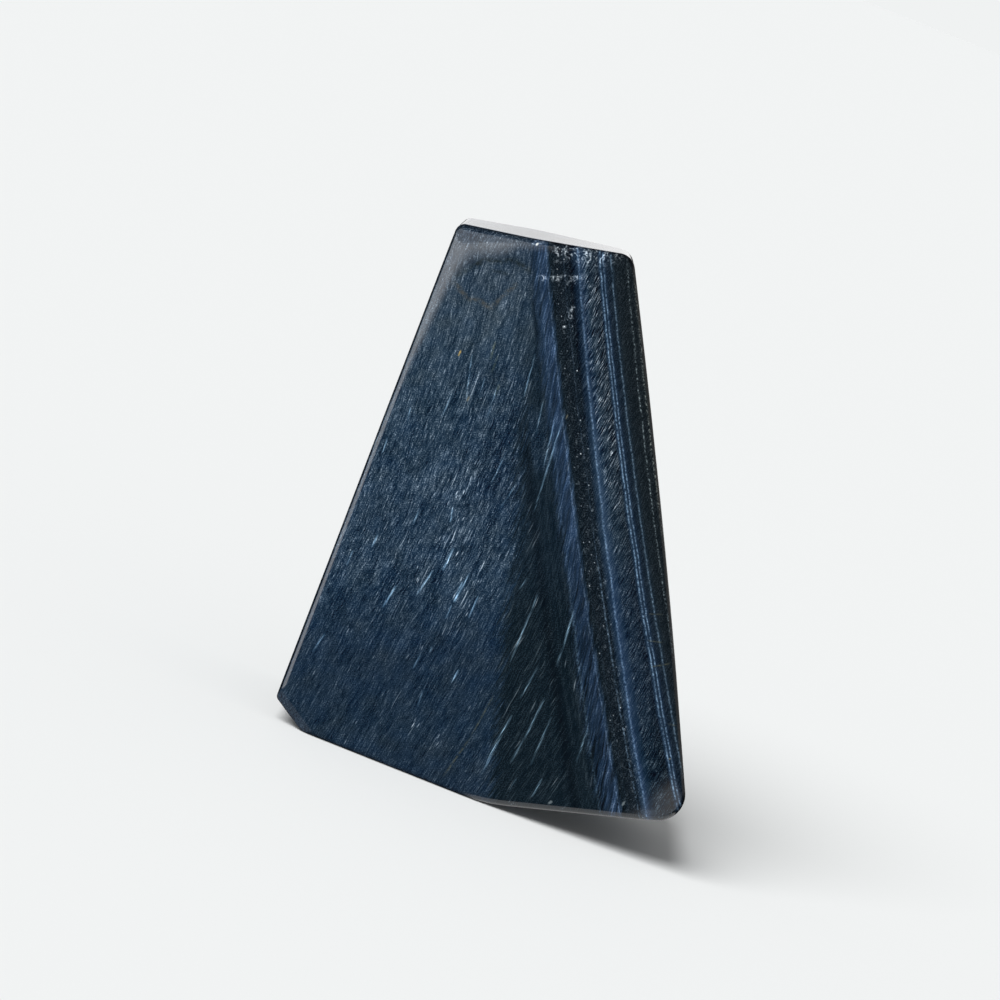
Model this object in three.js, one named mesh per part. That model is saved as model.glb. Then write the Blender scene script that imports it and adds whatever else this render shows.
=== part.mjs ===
// A freeform of blue tiger eye (hawk's eye): one solid piece, sawn to seven sides and polished
// all over, with softened edges. It stands on its flat sawn base, its left side upright, and
// its front face leans back so that it is thinner at the top than at the foot.
//
// Millimetres. +X is to the viewer's right, +Y away from the viewer, +Z up. The origin is the
// centre of the bounding box at the level of the base.
import * as THREE from "three";

// Driving dimensions.
const BASE_DEPTH = 26; // front to back at the foot
const FRONT_LEAN = THREE.MathUtils.degToRad(8); // the front face, from upright
const BACK_LEAN = THREE.MathUtils.degToRad(0.5); // the back face, from upright
const RIM_WEAR = 0.2; // how far polishing has worn the front and back faces down at each side
const RIM_WEAR_REACH = 3.5; // distance from a side at which that wear has fallen to a third
const BACK_BEVEL = 0.9; // width of the softened edge all round the back face
const BEVEL_DEPTH_RATIO = 0.9; // a bevel's depth over its width
const BEVEL_ROUNDNESS = 1.45; // superellipse exponent: 1 is a straight chamfer, 2 a quarter circle

// The outline's corners, counterclockwise as seen from the front, from the base's left end.
// front and back are [x, z] where the two sides beside the corner would meet, on the front and
// the back of the stone, and radius rounds the corner. bevel (its width) and crown (how far its
// middle stands proud) belong to the side that runs on from this corner to the next one. At the
// front the crest is drawn in a little, so the top's front edge has a shallow dip.
const CORNERS = [
  { name: "heel", front: [0, 0], back: [0.5, 0], radius: 1.2, bevel: 0.75, crown: 0 },
  { name: "toe", front: [27.3, 0], back: [26.5, 0], radius: 22, bevel: 0.95, crown: 0 },
  { name: "point", front: [55, 7.8], back: [54, 8.4], radius: 3.6, bevel: 0.45, crown: 0.45 },
  { name: "peak", front: [18.6, 77.8], back: [18.3, 77.2], radius: 2.4, bevel: 0.75, crown: 0 },
  { name: "crest", front: [4.4, 74.85], back: [4.5, 75], radius: 60, bevel: 0.8, crown: 0 },
  { name: "shoulder", front: [-5.75, 73], back: [-5.6, 72.9], radius: 1.3, bevel: 0.36, crown: 0 },
  { name: "clip", front: [-4.95, 3.1], back: [-4.3, 3.1], radius: 0.8, bevel: 1.5, crown: 0 },
];

// Where hand polishing has rounded the front face down towards a corner: the fall at the corner
// itself, and how far in it reaches.
const POLISHED_CORNERS = [
  { name: "point", fall: 0.9, reach: 4.5 },
  { name: "peak", fall: 0.5, reach: 6 },
];

// Where polishing has rounded the front face down along a side, from one of its corners towards
// the other: the fall at that corner, how far in it reaches and how far along it spreads.
const POLISHED_SIDES = [
  { from: "shoulder", towards: "crest", fall: 1.3, reach: 4.2, spread: 8 },
  { from: "shoulder", towards: "clip", fall: 0.3, reach: 1.3, spread: 19 },
  { from: "point", towards: "peak", fall: 0.2, reach: 0.8, spread: 22 },
];

// Mesh steps through the stone, from the middle of the front face round to the back.
const FACE_RINGS = [0.18, 0.4, 0.6, 0.76, 0.87, 0.95]; // fractions of the way out to the rim
const BEVEL_STEPS = 5;
const SIDE_STEPS = 4;

// Mesh steps along the outline.
const STRAIGHT_STEP = 5; // length of a step along a straight side
const TURN_STEP = THREE.MathUtils.degToRad(14); // turn of a step round a corner
const LEAST_TURN_STEPS = 3;
const LEAST_STRAIGHT_STEPS = 2;
const SMALLEST_RADIUS_SHARE = 0.35; // of a corner's radius that is left inside a bevel

const cornerAt = (name) => CORNERS.find((corner) => corner.name === name);

// The corners of the outline at a share of the way from front to back.
function cornersAtDepth(share) {
  return CORNERS.map(({ front, back }) =>
    new THREE.Vector2(...front).lerp(new THREE.Vector2(...back), share));
}

// Moves each side of a polygon inwards by its own distance, and returns the new corners.
function movedInwards(corners, distances) {
  const count = corners.length;
  const sides = corners.map((start, i) => {
    const along = corners[(i + 1) % count].clone().sub(start).normalize();
    const inwards = new THREE.Vector2(-along.y, along.x);
    return { along, point: start.clone().addScaledVector(inwards, distances[i]) };
  });
  return sides.map((side, i) => {
    const before = sides[(i + count - 1) % count];
    const gap = side.point.clone().sub(before.point);
    const reach = gap.cross(side.along) / before.along.cross(side.along);
    return before.point.clone().addScaledVector(before.along, reach);
  });
}

// How the outline turns at a corner: the direction in which it arrives there, and its turn,
// which is positive where the corner stands out and negative where it is drawn in.
function turnAt(corners, i) {
  const count = corners.length;
  const arriving = corners[i].clone().sub(corners[(i + count - 1) % count]).normalize();
  const leaving = corners[(i + 1) % count].clone().sub(corners[i]).normalize();
  return { arriving, turn: Math.atan2(arriving.cross(leaving), arriving.dot(leaving)) };
}

// How many steps turn each corner and follow each side. They are fixed by the front outline, so
// that every outline has the same number of points and outlines can be joined into a skin.
function outlineSteps() {
  const corners = cornersAtDepth(0);
  return corners.map((corner, i) => {
    const side = corners[(i + 1) % corners.length].distanceTo(corner);
    const turn = Math.abs(turnAt(corners, i).turn);
    return {
      turning: Math.max(LEAST_TURN_STEPS, Math.round(turn / TURN_STEP)),
      straight: Math.max(LEAST_STRAIGHT_STEPS, Math.round(side / STRAIGHT_STEP)),
    };
  });
}

// The rounded outline through these corners, as a closed list of points.
function roundedOutline(corners, radii) {
  const arcs = corners.map((corner, i) => {
    const { arriving, turn } = turnAt(corners, i);
    const cut = radii[i] * Math.tan(Math.abs(turn) / 2);
    const start = corner.clone().addScaledVector(arriving, -cut);
    const leftwards = new THREE.Vector2(-arriving.y, arriving.x);
    const centre = start.clone().addScaledVector(leftwards, Math.sign(turn) * radii[i]);
    return { centre, start, turn };
  });
  const points = [];
  outlineSteps().forEach(({ turning, straight }, i) => {
    const { centre, start, turn } = arcs[i];
    for (let k = 0; k <= turning; k++) {
      points.push(start.clone().rotateAround(centre, (turn * k) / turning));
    }
    const from = points[points.length - 1];
    const to = arcs[(i + 1) % arcs.length].start;
    const outwards = new THREE.Vector2(to.y - from.y, from.x - to.x).normalize();
    for (let k = 1; k < straight; k++) {
      const t = k / straight;
      const bulge = 4 * CORNERS[i].crown * t * (1 - t);
      points.push(from.clone().lerp(to, t).addScaledVector(outwards, bulge));
    }
  });
  return points;
}

// The outline at a share of the depth, with every side moved in by a share of its bevel.
function outlineAt(depthShare, bevels, bevelShare) {
  const distances = bevels.map((width) => width * bevelShare);
  const radii = CORNERS.map(({ radius }, i) => {
    const before = distances[(i + CORNERS.length - 1) % CORNERS.length];
    return Math.max(radius - (before + distances[i]) / 2, radius * SMALLEST_RADIUS_SHARE);
  });
  return roundedOutline(movedInwards(cornersAtDepth(depthShare), distances), radii);
}

// How far a face is worn down at a point. Each side of its outline wears the face near it, and
// the cube root of summed cubes blends two sides smoothly where they meet.
function rimWear(x, z, corners) {
  const cubes = corners.map((start, i) => {
    const along = corners[(i + 1) % corners.length].clone().sub(start).normalize();
    const distance = along.x * (z - start.y) - along.y * (x - start.x);
    return Math.exp((-3 * Math.max(distance, 0)) / RIM_WEAR_REACH);
  });
  return RIM_WEAR * Math.cbrt(cubes.reduce((sum, cube) => sum + cube));
}

// How far the front face is polished down at a point round a corner, and along a side.
function cornerFall(x, z, { name, fall, reach }) {
  const [cornerX, cornerZ] = cornerAt(name).front;
  const distance = Math.hypot(x - cornerX, z - cornerZ) / reach;
  return fall * Math.exp(-distance * distance);
}

function sideFall(x, z, { from, towards, fall, reach, spread }) {
  const start = new THREE.Vector2(...cornerAt(from).front);
  const run = new THREE.Vector2(...cornerAt(towards).front).sub(start).normalize();
  const offset = new THREE.Vector2(x, z).sub(start);
  const inwards = Math.abs(run.cross(offset)) / reach;
  const along = run.dot(offset) / spread;
  return fall * Math.exp(-inwards - along * along);
}

// Depth (y) of the front face, with its polished corners and sides, and of the back face.
function frontDepth(x, z) {
  let depth = -BASE_DEPTH / 2 + z * Math.tan(FRONT_LEAN);
  depth += rimWear(x, z, cornersAtDepth(0));
  for (const corner of POLISHED_CORNERS) {
    depth += cornerFall(x, z, corner);
  }
  for (const side of POLISHED_SIDES) {
    depth += sideFall(x, z, side);
  }
  return depth;
}

function backDepth(x, z) {
  return BASE_DEPTH / 2 - z * Math.tan(BACK_LEAN) - rimWear(x, z, cornersAtDepth(1));
}

// The rings of points that the skin joins, from the front face's middle to the back face's.
function ringsOfStone() {
  const frontBevels = CORNERS.map(({ bevel }) => bevel);
  const backBevels = CORNERS.map(() => BACK_BEVEL);
  const middle = new THREE.Vector2();
  cornersAtDepth(0).forEach((corner) => middle.addScaledVector(corner, 1 / CORNERS.length));
  const rings = [];

  // A face's flat: its rim drawn in towards the middle, ring by ring.
  const faceRings = (rim, depthAt) =>
    FACE_RINGS.map((share) => rim.map((point) => {
      const { x, y: z } = middle.clone().lerp(point, share);
      return new THREE.Vector3(x, depthAt(x, z), z);
    }));

  // A bevel's rings, from the face's rim out to the side.
  const bevelRings = (depthShare, bevels, depthAt, away) =>
    Array.from({ length: BEVEL_STEPS + 1 }, (_, k) => {
      const turn = (Math.PI / 2) * (k / BEVEL_STEPS);
      const inset = 1 - Math.sin(turn) ** (2 / BEVEL_ROUNDNESS);
      const drop = 1 - Math.cos(turn) ** (2 / BEVEL_ROUNDNESS);
      const width = bevels.reduce((sum, bevel) => sum + bevel) / bevels.length;
      const depth = drop * width * BEVEL_DEPTH_RATIO;
      return outlineAt(depthShare, bevels, inset).map(({ x, y: z }) =>
        new THREE.Vector3(x, depthAt(x, z) + away * depth, z));
    });

  const frontBevel = bevelRings(0, frontBevels, frontDepth, 1);
  const backBevel = bevelRings(1, backBevels, backDepth, -1);
  rings.push(...faceRings(outlineAt(0, frontBevels, 1), frontDepth), ...frontBevel);
  for (let k = 1; k < SIDE_STEPS; k++) {
    rings.push(frontBevel[BEVEL_STEPS].map((point, i) =>
      point.clone().lerp(backBevel[BEVEL_STEPS][i], k / SIDE_STEPS)));
  }
  rings.push(...backBevel.reverse());
  rings.push(...faceRings(outlineAt(1, backBevels, 1), backDepth).reverse());
  return {
    rings,
    frontMiddle: new THREE.Vector3(middle.x, frontDepth(middle.x, middle.y), middle.y),
    backMiddle: new THREE.Vector3(middle.x, backDepth(middle.x, middle.y), middle.y),
  };
}

// One closed skin over the rings, with a fan of triangles at the middle of each face.
function stoneGeometry() {
  const { rings, frontMiddle, backMiddle } = ringsOfStone();
  const around = rings[0].length;
  const points = [frontMiddle, ...rings.flat(), backMiddle];
  const last = points.length - 1;
  const at = (ring, i) => 1 + ring * around + (i % around);
  const triangles = [];
  for (let i = 0; i < around; i++) {
    triangles.push(0, at(0, i), at(0, i + 1));
    triangles.push(last, at(rings.length - 1, i + 1), at(rings.length - 1, i));
    for (let ring = 0; ring + 1 < rings.length; ring++) {
      const corners = [at(ring, i), at(ring + 1, i), at(ring + 1, i + 1), at(ring, i + 1)];
      triangles.push(corners[0], corners[1], corners[2], corners[0], corners[2], corners[3]);
    }
  }
  const geometry = new THREE.BufferGeometry().setFromPoints(points);
  geometry.setIndex(triangles);
  geometry.computeBoundingBox();
  const { min, max } = geometry.boundingBox;
  geometry.translate(-(min.x + max.x) / 2, -(min.y + max.y) / 2, -min.z);
  geometry.computeVertexNormals();
  return geometry;
}

// Dark blue quartz with a glassy polish.
function polishedStone() {
  return new THREE.MeshStandardMaterial({ color: 0x1b2c42, roughness: 0.12, metalness: 0 });
}

const stone = new THREE.Mesh(stoneGeometry(), polishedStone());
stone.name = "tiger_eye_stone";

const freeform = new THREE.Group();
freeform.add(stone);

export default freeform;
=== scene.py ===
"""A freeform of blue tiger eye (hawk's eye): one polished stone standing on a pale studio floor.

The stone's skin is drawn over rings of points, from the middle of its front face, out over the
softened edges and the sawn sides, to the middle of its back face. Its bands, fibres and stains
are one solid pattern that runs right through it. A painted highlight sits among the stains, and a
painted sheen leaves the edges and sides darker than the faces. Metres, unless a name says
otherwise.
"""

import math
from collections import namedtuple
from functools import reduce

import bpy
import numpy as np
from mathutils import Matrix, Vector


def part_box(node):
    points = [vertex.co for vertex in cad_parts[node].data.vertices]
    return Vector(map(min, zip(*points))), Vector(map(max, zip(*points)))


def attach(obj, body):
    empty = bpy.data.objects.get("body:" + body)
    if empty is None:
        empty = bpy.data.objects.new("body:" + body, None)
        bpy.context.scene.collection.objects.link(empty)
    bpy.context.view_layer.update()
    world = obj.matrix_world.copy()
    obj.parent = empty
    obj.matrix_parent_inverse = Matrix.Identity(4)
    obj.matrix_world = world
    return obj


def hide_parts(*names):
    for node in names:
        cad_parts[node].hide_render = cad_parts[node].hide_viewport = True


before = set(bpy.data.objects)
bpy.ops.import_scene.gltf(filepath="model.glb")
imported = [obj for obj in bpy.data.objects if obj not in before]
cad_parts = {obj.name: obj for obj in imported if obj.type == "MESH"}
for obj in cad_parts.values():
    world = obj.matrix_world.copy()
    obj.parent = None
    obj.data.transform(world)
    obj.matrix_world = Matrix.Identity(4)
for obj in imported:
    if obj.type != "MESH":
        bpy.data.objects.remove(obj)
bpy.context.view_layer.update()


def added(name, data):
    """A new object in the scene, at its origin."""
    thing = bpy.data.objects.new(name, data)
    bpy.context.scene.collection.objects.link(thing)
    return thing


def new_material(name, finish):
    """A new material and its shader, with this finish set on the shader's own inputs."""
    material = bpy.data.materials.new(name)
    material.use_nodes = True
    shader = material.node_tree.nodes["Principled BSDF"]
    for label, value in finish.items():
        shader.inputs[label].default_value = value
    return material, shader


# ------------------------------
# The stone's form: the same named sizes as its solid, with a much finer skin.
# ------------------------------

BASE_DEPTH = 0.026
FRONT_LEAN = math.radians(8)
BACK_LEAN = math.radians(0.5)
RIM_WEAR = 0.0002
RIM_WEAR_REACH = 0.0035
BACK_BEVEL = 0.0009
BEVEL_DEPTH_RATIO = 0.9
BEVEL_ROUNDNESS = 1.45

Corner = namedtuple("Corner", "name front back radius bevel crown")

CORNERS = [
    Corner("heel", (0, 0), (0.0005, 0), 0.0012, 0.00075, 0),
    Corner("toe", (0.0273, 0), (0.0265, 0), 0.022, 0.00095, 0),
    Corner("point", (0.055, 0.0078), (0.054, 0.0084), 0.0036, 0.00045, 0.00045),
    Corner("peak", (0.0186, 0.0778), (0.0183, 0.0772), 0.0024, 0.00075, 0),
    Corner("crest", (0.0044, 0.07485), (0.0045, 0.075), 0.06, 0.0008, 0),
    Corner("shoulder", (-0.00575, 0.073), (-0.0056, 0.0729), 0.0013, 0.00036, 0),
    Corner("clip", (-0.00495, 0.0031), (-0.0043, 0.0031), 0.0008, 0.0015, 0),
]

PolishedCorner = namedtuple("PolishedCorner", "name fall reach")

POLISHED_CORNERS = [
    PolishedCorner("point", 0.0009, 0.0045),
    PolishedCorner("peak", 0.0005, 0.006),
]

# Sides polished down from one corner towards another: how far, how far in and how far along.
PolishedSide = namedtuple("PolishedSide", "start towards fall reach spread")

POLISHED_SIDES = [
    PolishedSide("shoulder", "crest", 0.0013, 0.0042, 0.008),
    PolishedSide("shoulder", "clip", 0.0003, 0.0013, 0.019),
    PolishedSide("point", "peak", 0.0002, 0.0008, 0.022),
]

STRAIGHT_STEP = 0.0007
TURN_STEP = math.radians(5)
LEAST_STEPS = 3
SMALLEST_RADIUS_SHARE = 0.35
FACE_RINGS = 38
BEVEL_STEPS = 10
SIDE_STEPS = 26


def corners_at_depth(share):
    """The outline's sharp corners at a share of the way from the front to the back."""
    front = np.array([corner.front for corner in CORNERS], float)
    back = np.array([corner.back for corner in CORNERS], float)
    return front + (back - front) * share


def unit(vector):
    return vector / np.linalg.norm(vector)


def moved_inwards(corners, distances):
    """The corners after each side has moved inwards by its own distance."""
    count = len(corners)
    along = [unit(corners[(i + 1) % count] - corners[i]) for i in range(count)]
    starts = [
        corners[i] + np.array([-along[i][1], along[i][0]]) * distances[i] for i in range(count)
    ]
    moved = []
    for i in range(count):
        gap = starts[i] - starts[i - 1]
        crossing = along[i - 1][0] * along[i][1] - along[i - 1][1] * along[i][0]
        reach = (gap[0] * along[i][1] - gap[1] * along[i][0]) / crossing
        moved.append(starts[i - 1] + along[i - 1] * reach)
    return np.array(moved)


def turn_at(corners, i):
    """The direction in which the outline arrives at a corner, and its turn there.

    The turn is positive where the corner stands out and negative where it is drawn in.
    """
    arriving = unit(corners[i] - corners[i - 1])
    leaving = unit(corners[(i + 1) % len(corners)] - corners[i])
    across = arriving[0] * leaving[1] - arriving[1] * leaving[0]
    return arriving, math.atan2(across, float(arriving @ leaving))


def outline_steps():
    """How many steps turn each corner and follow each side, fixed by the front outline."""
    corners = corners_at_depth(0)
    steps = []
    for i, corner in enumerate(corners):
        side = np.linalg.norm(corners[(i + 1) % len(corners)] - corner)
        turning = max(LEAST_STEPS, round(abs(turn_at(corners, i)[1]) / TURN_STEP))
        straight = max(LEAST_STEPS, round(side / STRAIGHT_STEP))
        steps.append((turning, straight))
    return steps


def rounded_outline(corners, radii):
    """The outline through these corners with each of them rounded, as a closed ring of points."""
    arcs = []
    for i, corner in enumerate(corners):
        arriving, turn = turn_at(corners, i)
        start = corner - arriving * radii[i] * math.tan(abs(turn) / 2)
        leftwards = np.array([-arriving[1], arriving[0]])
        arcs.append((start + leftwards * math.copysign(radii[i], turn), start, turn))
    points = []
    for i, (turning, straight) in enumerate(outline_steps()):
        centre, start, turn = arcs[i]
        spoke = start - centre
        for k in range(turning + 1):
            cos, sin = math.cos(turn * k / turning), math.sin(turn * k / turning)
            turned = [spoke[0] * cos - spoke[1] * sin, spoke[0] * sin + spoke[1] * cos]
            points.append(centre + np.array(turned))
        run_from = points[-1]
        run_to = arcs[(i + 1) % len(arcs)][1]
        run = unit(run_to - run_from)
        outwards = np.array([run[1], -run[0]])
        for k in range(1, straight):
            t = k / straight
            bulge = 4 * CORNERS[i].crown * t * (1 - t)
            points.append(run_from + (run_to - run_from) * t + outwards * bulge)
    return np.array(points)


def outline_at(depth_share, bevels, bevel_share):
    """The outline at a share of the depth, each side moved in by a share of its bevel."""
    distances = [width * bevel_share for width in bevels]
    radii = [
        max(
            corner.radius - (distances[i - 1] + distances[i]) / 2,
            corner.radius * SMALLEST_RADIUS_SHARE,
        )
        for i, corner in enumerate(CORNERS)
    ]
    return rounded_outline(moved_inwards(corners_at_depth(depth_share), distances), radii)


def rim_wear(points, corners):
    """How far polishing has worn a face down at these points, near each side of its outline."""
    cubes = np.zeros(len(points))
    for i, start in enumerate(corners):
        along = unit(corners[(i + 1) % len(corners)] - start)
        offset = points - start
        distance = np.maximum(along[0] * offset[:, 1] - along[1] * offset[:, 0], 0)
        cubes += np.exp(-3 * distance / RIM_WEAR_REACH)
    return RIM_WEAR * np.cbrt(cubes)


def front_depth(points):
    """The front face's place from front to back at these [x, z] points."""
    depth = -BASE_DEPTH / 2 + points[:, 1] * math.tan(FRONT_LEAN)
    depth += rim_wear(points, corners_at_depth(0))
    fronts = {corner.name: np.array(corner.front) for corner in CORNERS}
    for name, fall, reach in POLISHED_CORNERS:
        distance = np.linalg.norm(points - fronts[name], axis=1) / reach
        depth += fall * np.exp(-distance * distance)
    for side in POLISHED_SIDES:
        start = fronts[side.start]
        run = unit(fronts[side.towards] - start)
        offset = points - start
        inwards = np.abs(run[0] * offset[:, 1] - run[1] * offset[:, 0]) / side.reach
        along = offset @ run / side.spread
        depth += side.fall * np.exp(-inwards - along * along)
    return depth


def back_depth(points):
    """The back face's place from front to back at these [x, z] points."""
    depth = BASE_DEPTH / 2 - points[:, 1] * math.tan(BACK_LEAN)
    return depth - rim_wear(points, corners_at_depth(1))


def standing(points, depth):
    """[x, z] points and their depths as [x, y, z] points."""
    return np.column_stack([points[:, 0], depth, points[:, 1]])


def face_rings(rim, middle, depth_at):
    """A face's rings, from near its middle out to just inside its rim."""
    rings = []
    for k in range(1, FACE_RINGS):
        points = middle + (rim - middle) * k / FACE_RINGS
        rings.append(standing(points, depth_at(points)))
    return rings


def bevel_rings(depth_share, bevels, depth_at, away):
    """A bevel's rings, from the face's rim out to the side."""
    depth = BEVEL_DEPTH_RATIO * sum(bevels) / len(bevels)
    rings = []
    for k in range(BEVEL_STEPS + 1):
        turn = math.pi / 2 * k / BEVEL_STEPS
        inset = 1 - math.sin(turn) ** (2 / BEVEL_ROUNDNESS)
        drop = 1 - max(math.cos(turn), 0) ** (2 / BEVEL_ROUNDNESS)
        points = outline_at(depth_share, bevels, inset)
        rings.append(standing(points, depth_at(points) + away * drop * depth))
    return rings


def stone_skin():
    """The skin's points and faces, standing on its base with its box centred as the solid's."""
    front_bevels = [corner.bevel for corner in CORNERS]
    back_bevels = [BACK_BEVEL] * len(CORNERS)
    middle = corners_at_depth(0).mean(axis=0)
    front = bevel_rings(0, front_bevels, front_depth, 1)
    back = bevel_rings(1, back_bevels, back_depth, -1)
    rings = face_rings(outline_at(0, front_bevels, 1), middle, front_depth) + front
    for k in range(1, SIDE_STEPS):
        rings.append(front[-1] + (back[-1] - front[-1]) * k / SIDE_STEPS)
    rings += back[::-1]
    rings += face_rings(outline_at(1, back_bevels, 1), middle, back_depth)[::-1]

    centre = middle.reshape(1, 2)
    front_middle = standing(centre, front_depth(centre))
    back_middle = standing(centre, back_depth(centre))
    points = np.vstack([front_middle, *rings, back_middle])
    around = len(rings[0])
    last = len(points) - 1
    last_ring = last - around
    faces = []
    for i in range(around):
        j = (i + 1) % around
        faces.append((0, 1 + i, 1 + j))
        faces.append((last, last_ring + j, last_ring + i))
        for ring in range(len(rings) - 1):
            here = 1 + ring * around
            there = here + around
            faces.append((here + i, there + i, there + j, here + j))

    low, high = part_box("tiger_eye_stone")
    shift = (np.array(low) + np.array(high) - points.min(axis=0) - points.max(axis=0)) / 2
    shift[2] = low[2] - points[:, 2].min()
    return points + shift, faces


# ------------------------------
# Fields: arithmetic that adds nodes.
# ------------------------------

NUMBER = "NodeSocketFloat"
VECTOR = "NodeSocketVector"
COLOUR = "NodeSocketColor"


def feed(tree, socket, value):
    """Give a socket a field, another socket's output, or a plain value."""
    if isinstance(value, Field):
        tree.links.new(value.socket, socket)
    elif isinstance(value, bpy.types.NodeSocket):
        tree.links.new(value, socket)
    else:
        socket.default_value = value


def node_with(tree, kind, inputs, **settings):
    """A new node with these settings, its inputs fed by name or by number."""
    node = tree.nodes.new(kind)
    for name, value in settings.items():
        setattr(node, name, value)
    for key, value in inputs.items():
        feed(tree, node.inputs[key], value)
    return node


class Field:
    """A number that changes from place to place: arithmetic on it adds nodes to its tree."""

    def __init__(self, tree, socket):
        self.tree = tree
        self.socket = socket

    def math(self, operation, *others):
        values = dict(enumerate((self, *others)))
        node = node_with(self.tree, "ShaderNodeMath", values, operation=operation)
        return Field(self.tree, node.outputs[0])

    def __add__(self, other):
        return self.math("ADD", other)

    __radd__ = __add__

    def __sub__(self, other):
        return self.math("SUBTRACT", other)

    def __rsub__(self, other):
        return self.math("MULTIPLY_ADD", -1.0, other)

    def __mul__(self, other):
        return self.math("MULTIPLY", other)

    __rmul__ = __mul__

    def __truediv__(self, other):
        return self.math("DIVIDE", other)

    def at_least(self, other):
        return self.math("MAXIMUM", other)

    def at_most(self, other):
        return self.math("MINIMUM", other)

    def step(self, start, end):
        """0 up to the start and 1 from the end on, with a smooth change between them."""
        inputs = {"Value": self, "From Min": start, "From Max": end}
        node = node_with(self.tree, "ShaderNodeMapRange", inputs, interpolation_type="SMOOTHSTEP")
        return Field(self.tree, node.outputs[0])

    def between(self, low, high, soft):
        """1 between two values and 0 outside them, each edge as wide as this softness."""
        rising = self.step(low - soft / 2, low + soft / 2)
        return rising * self.step(high + soft / 2, high - soft / 2)

    def ridge(self, centre, width):
        """1 at the centre, falling smoothly to 0 within about a width on either side."""
        off = (self - centre) / width
        return (off * off * -1.0).math("EXPONENT")


def vector_of(tree, x, y, z):
    return node_with(tree, "ShaderNodeCombineXYZ", {0: x, 1: y, 2: z}).outputs[0]


def vector_math(tree, operation, *values, output="Vector", **named):
    """Arithmetic on vectors: its result as a socket."""
    inputs = {**dict(enumerate(values)), **named}
    node = node_with(tree, "ShaderNodeVectorMath", inputs, operation=operation)
    return node.outputs[output]


def measured(tree, operation, *vectors):
    """A number that is measured from vectors, such as a length, as a field."""
    return Field(tree, vector_math(tree, operation, *vectors, output="Value"))


def parts_of(tree, vector):
    """A vector's x, y and z as fields."""
    outputs = node_with(tree, "ShaderNodeSeparateXYZ", {0: vector}).outputs
    return [Field(tree, output) for output in outputs]


def strongest(fields):
    """The highest of these fields at each place."""
    return reduce(Field.at_least, fields)


def noise_field(tree, vector, scale=1.0, detail=1.0, roughness=0.5):
    """Noise about 0."""
    inputs = {"Vector": vector, "Scale": scale, "Detail": detail, "Roughness": roughness}
    return Field(tree, node_with(tree, "ShaderNodeTexNoise", inputs).outputs[0]) - 0.5


# ------------------------------
# Hand polishing: broad, shallow waves over the whole skin but for the flat base.
# ------------------------------

HAND_POLISH = {
    "Wave height": 0.00003,
    "Wave length": 0.016,
    "Flat below": 0.0012,
    "Full above": 0.006,
    "Seed": 4.0,
}


def hand_polish_tree(material):
    """A geometry tree that waves a skin in and out by a little, and leaves its base flat."""
    tree = bpy.data.node_groups.new("hand_polish", "GeometryNodeTree")
    interface = tree.interface
    interface.new_socket("Geometry", in_out="INPUT", socket_type="NodeSocketGeometry")
    for name in HAND_POLISH:
        interface.new_socket(name, in_out="INPUT", socket_type=NUMBER)
    interface.new_socket("Geometry", in_out="OUTPUT", socket_type="NodeSocketGeometry")

    inputs = tree.nodes.new("NodeGroupInput").outputs
    place = tree.nodes.new("GeometryNodeInputPosition").outputs[0]
    normal = tree.nodes.new("GeometryNodeInputNormal").outputs[0]
    in_waves = vector_math(tree, "DIVIDE", place, inputs["Wave length"])
    noise = {"Vector": in_waves, "W": inputs["Seed"], "Scale": 1.0, "Detail": 1.0}
    wave = node_with(tree, "ShaderNodeTexNoise", noise, noise_dimensions="4D").outputs[0]
    height = (Field(tree, wave) - 0.5) * (Field(tree, inputs["Wave height"]) * 2.0)
    above_base = parts_of(tree, place)[2].step(inputs["Flat below"], inputs["Full above"])
    offset = vector_math(tree, "SCALE", normal, Scale=height * above_base)

    move = {"Geometry": inputs["Geometry"], "Offset": offset}
    moved = node_with(tree, "GeometryNodeSetPosition", move).outputs[0]
    real = node_with(tree, "GeometryNodeRealizeInstances", {0: moved}).outputs[0]
    finish = {"Geometry": real, "Material": material}
    finished = node_with(tree, "GeometryNodeSetMaterial", finish).outputs[0]
    feed(tree, tree.nodes.new("NodeGroupOutput").inputs[0], finished)
    return tree


def hand_polished(rough, material, name):
    """The skin after hand polishing, as a plain mesh object with no modifier left."""
    tree = hand_polish_tree(material)
    modifier = rough.modifiers.new("hand_polish", "NODES")
    modifier.node_group = tree
    for item in tree.interface.items_tree:
        if item.name in HAND_POLISH:
            modifier[item.identifier] = HAND_POLISH[item.name]
    evaluated = rough.evaluated_get(bpy.context.evaluated_depsgraph_get())
    mesh = bpy.data.meshes.new_from_object(evaluated)
    mesh.name = name
    bpy.data.objects.remove(rough)
    return added(name, mesh)


def note_face_on(mesh):
    """Keep with each vertex how squarely it faces front or back: 1 on the faces, 0 on sides."""
    normals = np.empty(len(mesh.vertices) * 3)
    mesh.vertices.foreach_get("normal", normals)
    attribute = mesh.attributes.new("face_on", "FLOAT", "POINT")
    attribute.data.foreach_set("value", np.abs(normals.reshape(-1, 3)[:, 1]))


def build_stone(material):
    points, faces = stone_skin()
    mesh = bpy.data.meshes.new("stone_skin")
    mesh.from_pydata(points.tolist(), [], faces)
    mesh.validate()
    mesh.shade_smooth()
    note_face_on(mesh)
    stone = hand_polished(added("stone_skin", mesh), material, "polished_stone")
    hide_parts("tiger_eye_stone")
    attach(stone, "root")


# ------------------------------
# Colours. The pattern is worked out in screen levels, from 0 to 255 for red, green and blue,
# and turned into the base colour that shows them only at its end.
# ------------------------------

LEVELS = 255
SCREEN_TOE = 0.055
SCREEN_GAMMA = 2.4

# The light that falls on the front face, the haze that reflections lay over it, and the darkest
# base colour that the stone has.
FRONT_LIGHT = 1.03
FRONT_VEIL = 0.002
DARKEST = 0.0015


def screen(red, green, blue):
    """Screen levels as shares of the highest level."""
    return (red / LEVELS, green / LEVELS, blue / LEVELS)


def even(number):
    """The same number for each of three channels."""
    return (number, number, number)


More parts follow.
